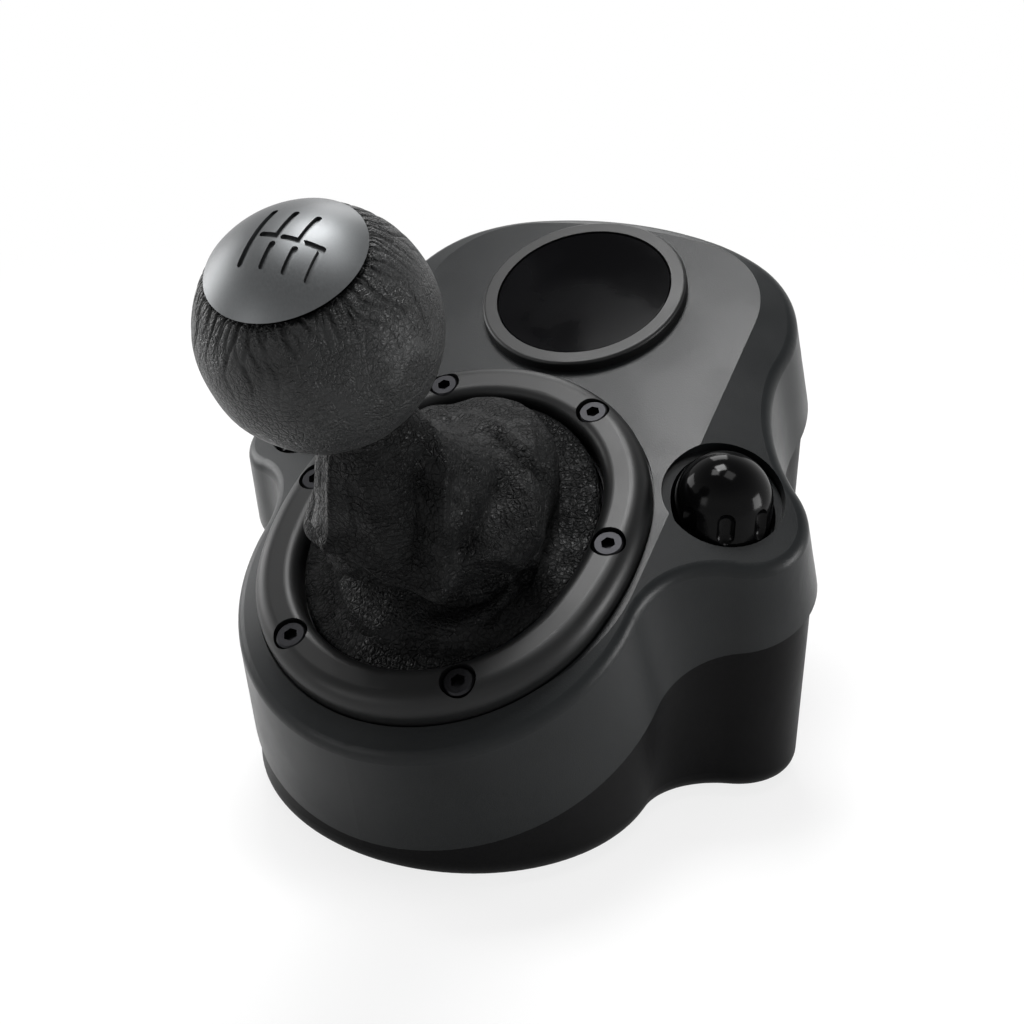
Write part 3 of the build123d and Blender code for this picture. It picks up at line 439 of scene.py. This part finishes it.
# %% Wrinkles of the ball
# Radii and depths are in mm, and the widths of the tucks in degrees from their edge.
BALL_RADIUS = 23.8
CAP_EDGE = 18.0
NECK_EDGE = 9.6
COVER_RADIUS = 23.65
LINING_RADIUS = 21.6
SWELL = 0.12
WRINKLE_DEPTH = 0.55
TUCK_DEPTH = 0.8
CAP_TUCK = 1.6
NECK_TUCK = 2.5
VALLEY_WIDTH = 0.3
WANDER = 0.05
# Each family: count round the ball, sway over 60 degrees, reach in degrees, shift, strength.
CAP_WRINKLES = ((30, 0.10, 38, 0.4, 1.0), (44, -0.16, 30, 1.7, 0.9), (66, 0.22, 18, 2.9, 0.7))
NECK_WRINKLES = ((28, 0.5, 34, 0.9, 0.7), (46, -0.4, 22, 2.2, 0.7))


def valleys(around, away, count, sway, reach, shift):
    """Narrow valleys exp(-(sin x / width)^2) whose depth falls off as exp(-(away/reach)^2)."""
    bend = sway * away / 60 + WANDER * np.sin(5 * around + away / 6 + shift)
    x = count / 2 * (around + bend) + shift
    long = reach * (0.62 + 0.38 * np.sin(9 * around + 2 * shift) * np.sin(4 * around + shift))
    strong = 0.6 + 0.4 * np.sin(11 * around + 3 * shift)
    return strong * np.exp(-(np.sin(x) / VALLEY_WIDTH) ** 2) * np.exp(-(away / long) ** 2)


def wrinkles(around, away, families):
    """Sum of several families of valleys, each times its strength."""
    return sum(size * valleys(around, away, count, sway, reach, shift)
               for count, sway, reach, shift, size in families)


def ball_leather():
    """Polar surface: radius minus tucks and valleys, over angle from the cap."""
    rows, inside, columns = 200, 12, 440
    top = math.acos(CAP_EDGE / BALL_RADIUS)
    low = math.pi - math.asin(NECK_EDGE / BALL_RADIUS)
    polar = np.linspace(top, low, rows)[:, None]
    around = np.linspace(0, 2 * np.pi, columns, endpoint=False)[None, :]
    away, back = np.degrees(polar - top), np.degrees(low - polar)
    crease_and_painted_shade = wrinkles(around, away, CAP_WRINKLES) + wrinkles(around, back, NECK_WRINKLES)
    swell = SWELL * np.sin(6 * around + away / 9) * np.sin(3 * around - away / 13)
    tuck = np.exp(-(away / CAP_TUCK) ** 2) + np.exp(-(back / NECK_TUCK) ** 2)
    radius = COVER_RADIUS + swell - WRINKLE_DEPTH * np.tanh(crease_and_painted_shade) - TUCK_DEPTH * tuck
    lining = np.linspace(low, top, inside)[:, None]
    radius = np.concatenate([radius, np.full((inside, columns), LINING_RADIUS)])
    polar = np.concatenate([polar, lining])
    points = radius[..., None] * np.stack(
        [np.sin(polar) * np.cos(around), np.sin(polar) * np.sin(around),
         np.cos(polar) + 0 * around], axis=-1)
    faces = grid_faces(rows + inside + 1, columns, True) % ((rows + inside) * columns)
    piece = make_mesh("ball_cover", place(points, BALL, LEVER), faces[:, ::-1].tolist(),
                      finish["ball"])
    # The crease attribute darkens the wrinkle valleys in the ball's material, as painted shade,
    # and deepens its bump.
    depth = np.zeros((rows + inside, columns), np.float32)
    depth[:rows] = np.clip(crease_and_painted_shade, 0, 1)
    piece.data.attributes.new("crease_and_painted_shade", "FLOAT", "POINT").data.foreach_set(
        "value", depth.ravel())
    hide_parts("knob_leather")
    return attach(piece, "lever")


ball_cover = ball_leather()
print("ball cover", len(ball_cover.data.polygons), "faces")

# %% [markdown]
# ## The gaiter
# A gaiter is a leather sleeve that is longer than it needs to be, so that the lever
# can move. The spare leather stands as a fat roll behind and hangs as a curtain in
# front, which ends in a ledge over a deep fold. The form starts from a net of control
# points: 11 directions round the sleeve, and 11 levels from the ring up to the neck.
# Each point has a reach, as a share of the opening, and a height over the deck in mm.

# %% Net of the gaiter
TURNS = np.array([-150, -125, -90, -62, -35, -5, 30, 70, 110, 150, 180.0])
REACH = np.array([
    [1.015] * 11,
    [1.015] * 11,
    [0.78, 0.82, 0.90, 0.92, 0.86, 0.74, 0.76, 0.84, 0.92, 0.90, 0.84],
    [0.75, 0.76, 0.82, 0.82, 0.80, 0.74, 0.78, 0.86, 0.91, 0.88, 0.81],
    [0.81, 0.68, 0.57, 0.54, 0.62, 0.68, 0.76, 0.86, 0.90, 0.85, 0.79],
    [0.83, 0.68, 0.66, 0.70, 0.76, 0.80, 0.73, 0.78, 0.82, 0.77, 0.71],
    [0.64, 0.66, 0.66, 0.70, 0.73, 0.82, 0.70, 0.62, 0.62, 0.62, 0.62],
    [0.54, 0.56, 0.55, 0.60, 0.62, 0.65, 0.56, 0.47, 0.45, 0.48, 0.50],
    [0.40, 0.42, 0.40, 0.42, 0.43, 0.44, 0.42, 0.35, 0.33, 0.36, 0.38],
    [0.30, 0.30, 0.28, 0.29, 0.30, 0.32, 0.30, 0.28, 0.28, 0.29, 0.30],
    [0.27, 0.27, 0.25, 0.25, 0.26, 0.28, 0.27, 0.25, 0.25, 0.27, 0.28],
])
HEIGHT = np.array([
    [-3.6] * 11,
    [2.8] * 11,
    [4.5, 4.5, 4.5, 4.5, 4.2, 3.8, 4.0, 4.0, 4.0, 4.5, 5.0],
    [10.0, 9.5, 9.0, 8.5, 8.5, 8.0, 12.0, 8.5, 7.5, 9.0, 11.0],
    [15.0, 13.5, 13.0, 12.5, 11.5, 10.5, 17.0, 12.5, 10.5, 13.5, 16.0],
    [18.5, 17.5, 15.5, 13.5, 13.0, 12.5, 21.0, 16.5, 14.0, 18.0, 20.0],
    [22.5, 22.0, 21.0, 18.5, 19.0, 19.0, 23.0, 19.5, 17.5, 22.0, 24.0],
    [30.0, 30.0, 29.0, 27.5, 27.5, 26.5, 25.5, 25.0, 25.0, 29.0, 31.0],
    [41.0, 41.0, 41.0, 40.0, 39.0, 38.0, 37.0, 37.0, 38.0, 41.0, 42.0],
    [52.0, 52.0, 52.0, 52.0, 52.0, 51.0, 51.0, 51.0, 52.0, 52.0, 52.0],
    [57.0] * 11,
])
# The opening is an oval of these half sizes in mm. Over a stretch of height the sleeve
# changes from the opening's outline to a circle about the lever.
OPENING_HALF_WIDTH = 34.2
OPENING_HALF_LENGTH = 40.8
OPENING_GAP = 0.8
CIRCLE_RADIUS = 37.0
OPENING_MIDDLE = 6.5
MIDDLE_SHIFT = 12.5
CHANGE_FROM = 5
CHANGE_OVER = 40


def through(values, at, closed):
    """Catmull-Rom curve through rows of values, read at whole and broken numbers."""
    k = np.floor(at).astype(int)
    f = (at - k)[:, None]
    n = len(values)
    picks = [(k + i) % n if closed else np.clip(k + i, 0, n - 1) for i in (-1, 0, 1, 2)]
    p0, p1, p2, p3 = (values[pick] for pick in picks)
    return 0.5 * (2 * p1 + (p2 - p0) * f + (2 * p0 - 5 * p1 + 4 * p2 - p3) * f ** 2
                  + (3 * p1 - p0 - 3 * p2 + p3) * f ** 3)


def sleeve_grid(rows, columns):
    """Net made smooth both ways; its middle moves from the opening to the lever."""
    turn = np.linspace(-180, 180, columns, endpoint=False)
    edges = np.append(TURNS, TURNS[0] + 360)
    place_round = np.interp(np.where(turn < TURNS[0], turn + 360, turn), edges,
                            np.arange(len(edges)))
    level = np.linspace(0, len(REACH) - 1.000001, rows)
    reach, height = (through(through(net.T, place_round, True).T, level, False)
                     for net in (REACH, HEIGHT))
    a = np.radians(turn)[None, :]
    opening = 1.0 / np.hypot(np.cos(a) / OPENING_HALF_WIDTH, np.sin(a) / OPENING_HALF_LENGTH)
    share = np.clip((height - CHANGE_FROM) / CHANGE_OVER, 0, 1)
    share = share * share * (3 - 2 * share)
    r = reach * ((opening - OPENING_GAP) * (1 - share) + CIRCLE_RADIUS * share)
    middle = OPENING_MIDDLE - MIDDLE_SHIFT * share
    points = np.stack([r * np.cos(a), middle + r * np.sin(a), height], axis=-1)
    return points, turn, level


def grid_normals(points):
    """Unit normals of a grid that closes round its columns."""
    up = np.gradient(points, axis=0)
    side = np.roll(points, -1, 1) - np.roll(points, 1, 1)
    n = np.cross(side, up)
    return n / np.maximum(np.linalg.norm(n, axis=-1, keepdims=True), 1e-9)


# %% [markdown]
# ## Folds
# Every fold is a bank along a line on the sleeve, given by turns and levels. Its
# height falls off with the distance from the line: a sharp crest like exp(-x), or a
# soft hill like (1 + x^2)^-1.5. Negative sizes make valleys.

# %% Folds of the gaiter
FOLDS = [
    # (turn, level) points, width mm, size mm, share of sharp crest
    (((20, 9.0), (1, 8.5), (-30, 7.7), (-56, 6.3)), 2.4, 3.8, 0.7),
    (((-11, 8.7), (-34, 7.9), (-58, 7.0)), 3.4, -3.2, 0.2),
    (((22, 7.0), (-12, 7.1), (-34, 6.8)), 3.2, -3.8, 0.4),
    (((16, 6.6), (-6, 6.1), (-12, 3.2)), 3.0, 1.8, 0.3),
    (((118, 5.3), (92, 5.9), (68, 5.9), (46, 5.7)), 1.8, 1.5, 0.8),
    (((62, 6.2), (36, 5.9), (29, 3.9)), 2.4, -2.6, 0.5),
    (((-109, 7.1), (-91, 6.9), (-73, 6.5), (-59, 6.0)), 2.2, 3.0, 0.7),
    (((-37, 6.6), (-24, 6.3), (-19, 3.3), (-13, 1.8)), 2.4, 3.0, 0.6),
    (((-100, 6.5), (-77, 5.8), (-65, 3.4), (-43, 3.2), (-22, 2.5)), 4.0, -4.4, 0.1),
    (((-48, 2.8), (-31, 2.5), (-19, 1.8)), 3.0, 2.4, 0.3),
    (((-131, 3.7), (-100, 6.3), (-84, 6.3)), 2.2, 1.6, 0.5),
    (((-108, 9.0), (-108, 8.2), (-109, 7.3)), 1.8, 1.4, 0.6),
    (((-151, 5.6), (-122, 7.3), (-110, 7.2)), 1.8, 1.8, 0.8),
    (((-82, 8.9), (-35, 9.2), (0, 9.0)), 3.0, 0.9, 0.2),
    (((60, 6.5), (40, 3.5)), 5.0, 0.8, 0.1),
    (((95, 7.5), (85, 4.5)), 5.0, 0.9, 0.1),
    (((125, 7.0), (140, 4.0)), 3.5, -2.2, 0.3),
    (((160, 7.4), (172, 3.6)), 3.0, 2.4, 0.5),
    (((178, 8.2), (-165, 5.6)), 2.6, 1.8, 0.5),
    (((105, 6.0), (112, 3.4)), 3.0, -1.6, 0.3),
    (((-172, 4.0), (165, 2.4)), 2.4, 2.0, 0.5),
]
CREST_ROUND = 0.2
# Each ripple is a product of two sines: size in mm, waves round and up of both, shift.
CRUMPLE = ((0.25, 5, 1.7, 3, -2.9, 1), (0.22, 11, -3.1, 7, 2.3, 2), (0.1, 23, 4, 17, -5, 0))
# Between these levels of the net the folds grow from nothing, and fade again.
PUSH_FROM = 1.1
PUSH_FULL = 1.9
PUSH_FADE = 8.4
PUSH_TO = 9.6
SLEEVE_ROWS = 280
SLEEVE_COLUMNS = 430


def bank(points, line, width, size, sharp):
    """Height of a fold: sharp crest and soft hill of the distance from its line."""
    near = np.full(points.shape[:2], 1e9)
    for start, end in zip(line[:-1], line[1:]):
        run = end - start
        along = np.clip(((points - start) @ run) / (run @ run), 0, 1)
        gap = np.linalg.norm(points - start - along[..., None] * run, axis=-1)
        near = np.minimum(near, gap)
    x = near / width
    crest = np.exp(CREST_ROUND - np.sqrt(x * x + CREST_ROUND ** 2))
    return size * (sharp * crest + (1 - sharp) / (1.0 + x * x) ** 1.5)


def folded_sleeve(rows, columns):
    """The smooth sleeve, pushed along its normals by folds and a fine crumple."""
    points, turn, level = sleeve_grid(rows, columns)
    push = np.zeros(points.shape[:2])
    for line, width, size, sharp in FOLDS:
        columns_at = [np.abs((turn - a + 180) % 360 - 180).argmin() for a, _ in line]
        rows_at = [np.abs(level - t).argmin() for _, t in line]
        push += bank(points, points[rows_at, columns_at], width, size, sharp)
    a, t = np.radians(turn)[None, :], level[:, None]
    for size, round_1, up_1, round_2, up_2, shift in CRUMPLE:
        push += size * np.sin(round_1 * a + up_1 * t) * np.sin(round_2 * a + up_2 * t + shift)
    push *= np.clip((t - PUSH_FROM) / (PUSH_FULL - PUSH_FROM), 0, 1)
    push *= np.clip((PUSH_TO - t) / (PUSH_TO - PUSH_FADE), 0, 1)
    return points + grid_normals(points) * push[..., None]


outer = folded_sleeve(SLEEVE_ROWS, SLEEVE_COLUMNS)
print("gaiter grid", outer.shape)
print("low", outer.min((0, 1)).round(1), "high", outer.max((0, 1)).round(1))

# %% [markdown]
# ## Three bands of the sleeve
# The lever tilts sideways, fore and aft, and moves down, on three bodies. The sleeve is
# cut in three bands, at the heights where it would wholly follow the body between two
# of them.

# %% Cut the sleeve in bands
def deck_point(v, w):
    """A point on the deck's middle line, in metres."""
    return place(np.array([0.0, v, w]), DECK_ORIGIN, DECK)


def band(name, sleeve, low, high):
    """A copy of the sleeve, kept between two heights over the deck."""
    mesh = sleeve.data.copy()
    mesh.name = name
    shape = bmesh.new()
    shape.from_mesh(mesh)
    for height, sign in ((low, 1), (high, -1)):
        if height is not None:
            bmesh.ops.bisect_plane(
                shape, geom=shape.verts[:] + shape.edges[:] + shape.faces[:],
                plane_co=deck_point(0, height), plane_no=DECK[:, 2] * sign,
                clear_inner=True)
    shape.to_mesh(mesh)
    shape.free()
    piece = bpy.data.objects.new(name, mesh)
    bpy.context.collection.objects.link(piece)
    return piece


sleeve = make_mesh("gaiter_sleeve", place(outer, DECK_ORIGIN, DECK),
                   grid_faces(SLEEVE_ROWS, SLEEVE_COLUMNS, True).tolist(), finish["gaiter"])
YOKE_CUT = 23.0
BLOCK_CUT = 45.0
BANDS = [
    # name, cut below, cut above, body below, body above, heights where the bend starts and ends
    ("gaiter_lower", None, YOKE_CUT, "housing", "yoke", 4.0, 22.5),
    ("gaiter_middle", YOKE_CUT, BLOCK_CUT, "yoke", "tilt_block", 23.5, 44.5),
    ("gaiter_top", BLOCK_CUT, None, "tilt_block", "lever", 45.5, 54.0),
]
for name, low, high, below, above, start, end in BANDS:
    piece = band(name, sleeve, low, high)
    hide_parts("gaiter")
    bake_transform(piece)
    print(name, len(piece.data.polygons), "faces")
bpy.data.objects.remove(sleeve)

# %% [markdown]
# ## Springs
# The solids hold plain sleeves where coil springs go. A coil is a circle carried
# along a helix, and it closes up when its two ends come together.

# %% Coil springs
STEPS_A_TURN = 28
WIRE_SIDES = 10


def coil(name, x, low, high, radius, wire, turns):
    """A circle of the wire's radius carried along a helix beside the lever; sizes in mm."""
    steps, ring = turns * STEPS_A_TURN, WIRE_SIDES
    t = np.linspace(0, 1, steps)[:, None]
    b = np.linspace(0, 2 * np.pi, ring, endpoint=False)[None, :]
    turn = 2 * np.pi * turns * t
    reach = radius - wire + wire * np.cos(b)
    rise = low + wire + (high - low - 2 * wire) * t + wire * np.sin(b)
    points = np.stack([x + reach * np.cos(turn), reach * np.sin(turn), rise], axis=-1)
    tube = grid_faces(steps, ring, True)
    first, last = (np.stack([np.full(ring - 2, e), e + np.arange(1, ring - 1),
                             e + np.arange(2, ring)], axis=-1)
                   for e in (0, (steps - 1) * ring))
    faces = tube[:, ::-1].tolist() + first.tolist() + last[:, ::-1].tolist()
    piece = make_mesh(name, place(points, PIVOT, LEVER), faces, finish["spring_steel"])
    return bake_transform(piece)


push_coil = coil("push_coil", x=0.0, low=8.3, high=22.3, radius=7.2, wire=0.6, turns=7)
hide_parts("push_spring")
for word, x in (("left", -16.0), ("right", 16.0)):
    made = coil("centring_coil_" + word, x, low=-14.3, high=-6.3, radius=2.4, wire=0.35,
                turns=7)
    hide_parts("centring_springs")
print("push coil of", len(push_coil.data.polygons), "faces and two centring coils")

# %% [markdown]
# ## Floor and light
# A pale floor and a pale world stand for a white studio. Seven square lamps light
# the object: three from above give the deck its soft shine, one stands behind, and
# one on the left, one on the right and one in front draw the edges.

# %% Floor
FLOOR_HALF = 3.0
FLOOR_COLOUR = (0.86, 0.86, 0.86, 1)


def rays_seen(tree):
    """Masks of the rays that see a background: the camera's, and those off gloss or glass."""
    tree.nodes.clear()
    rays = tree.nodes.new("ShaderNodeLightPath")
    mirrored = maths(tree, "MAXIMUM", rays.outputs["Is Glossy Ray"],
                     rays.outputs["Is Transmission Ray"])
    return rays.outputs["Is Camera Ray"], mirrored


def add_floor():
    """A wide pale plane at table level; its glow grows with the distance from the object."""
    corners = FLOOR_HALF * np.array([[-1, -1, 0], [1, -1, 0], [1, 1, 0], [-1, 1, 0]])
    material = bpy.data.materials.new("studio_floor")
    material.use_nodes = True
    tree = material.node_tree
    camera_seen, mirrored = rays_seen(tree)
    coordinates = node(tree, "ShaderNodeTexCoord")
    away = node(tree, "ShaderNodeVectorMath", operation="LENGTH")
    tree.links.new(coordinates.outputs["Object"], away.inputs[0])
    near_glow = ramp(tree, away.outputs["Value"], 0.08, 0.55, out_low=0.8)
    bright = maths(tree, "MULTIPLY", camera_seen, near_glow)
    mirror_glow = ramp(tree, away.outputs["Value"], 0.1, 0.8, out_low=0.25)
    shown = maths(tree, "MULTIPLY", mirrored, mirror_glow)
    matt = node(tree, "ShaderNodeBsdfDiffuse")
    matt.inputs["Color"].default_value = FLOOR_COLOUR
    glow = node(tree, "ShaderNodeEmission", strength=1.0)
    mix = node(tree, "ShaderNodeMixShader")
    tree.links.new(maths(tree, "MAXIMUM", bright, shown), mix.inputs["Fac"])
    tree.links.new(matt.outputs["BSDF"], mix.inputs[1])
    tree.links.new(glow.outputs["Emission"], mix.inputs[2])
    output = node(tree, "ShaderNodeOutputMaterial")
    tree.links.new(mix.outputs["Shader"], output.inputs["Surface"])
    floor = make_mesh("studio_floor", corners, [[0, 1, 2, 3]], material, smooth=False)
    return floor


floor = add_floor()
print("floor", floor.name)

# %% World and lamps
SOFT_FILL = 0.22
LAMPS = (
    # name, place in metres, width in metres, power in watts
    ("key_lamp", (-0.17, 0.22, 1.06), 0.30, 9.0),
    ("high_front_lamp", (-0.26, -0.02, 1.02), 0.25, 2.5),
    ("high_right_lamp", (0.22, -0.02, 1.0), 0.3, 1.5),
    ("rear_lamp", (-0.29, 0.66, 0.62), 0.3, 1.5),
    ("left_lamp", (-0.95, 0.02, 0.32), 0.5, 5.0),
    ("right_lamp", (0.62, 0.12, 0.11), 0.22, 2.2),
    ("front_lamp", (-0.45, -0.85, 0.30), 0.3, 1.0),
)
LIT_POINT = np.array([0.0, 0.0, 0.06])


def set_world():
    """White where the camera sees it; gloss sees white walls that darken to the ceiling."""
    world = bpy.data.worlds.new("studio_world")
    bpy.context.scene.world = world
    world.use_nodes = True
    tree = world.node_tree
    camera_seen, mirrored = rays_seen(tree)
    direction = node(tree, "ShaderNodeTexCoord")
    parts = node(tree, "ShaderNodeSeparateXYZ")
    tree.links.new(direction.outputs["Generated"], parts.inputs[0])
    walls = ramp(tree, parts.outputs["Z"], 0.2, 0.95, out_low=1.0, out_high=0.3)
    strength = maths(tree, "MAXIMUM", camera_seen, maths(tree, "MULTIPLY", mirrored, walls))
    strength = maths(tree, "MAXIMUM", strength, SOFT_FILL)
    background = node(tree, "ShaderNodeBackground")
    tree.links.new(strength, background.inputs["Strength"])
    background.inputs["Color"].default_value = (1, 1, 1, 1)
    output = node(tree, "ShaderNodeOutputWorld")
    tree.links.new(background.outputs["Background"], output.inputs["Surface"])


def lamp(name, place_at, size, power):
    """A square area lamp that faces the object; the camera doesn't see it."""
    data = bpy.data.lights.new(name, "AREA")
    data.size = size
    data.energy = power
    made = bpy.data.objects.new(name, data)
    made.location = place_at
    line = LIT_POINT - np.array(place_at)
    yaw = math.atan2(line[1], line[0]) - math.pi / 2
    tilt = math.acos(-line[2] / np.linalg.norm(line))
    made.rotation_euler = (tilt, 0, yaw)
    made.visible_camera = False
    bpy.context.collection.objects.link(made)


set_world()
for name, place_at, size, power in LAMPS:
    lamp(name, place_at, size, power)
bpy.context.scene.view_settings.view_transform = "Standard"
print("lamps", len(LAMPS))
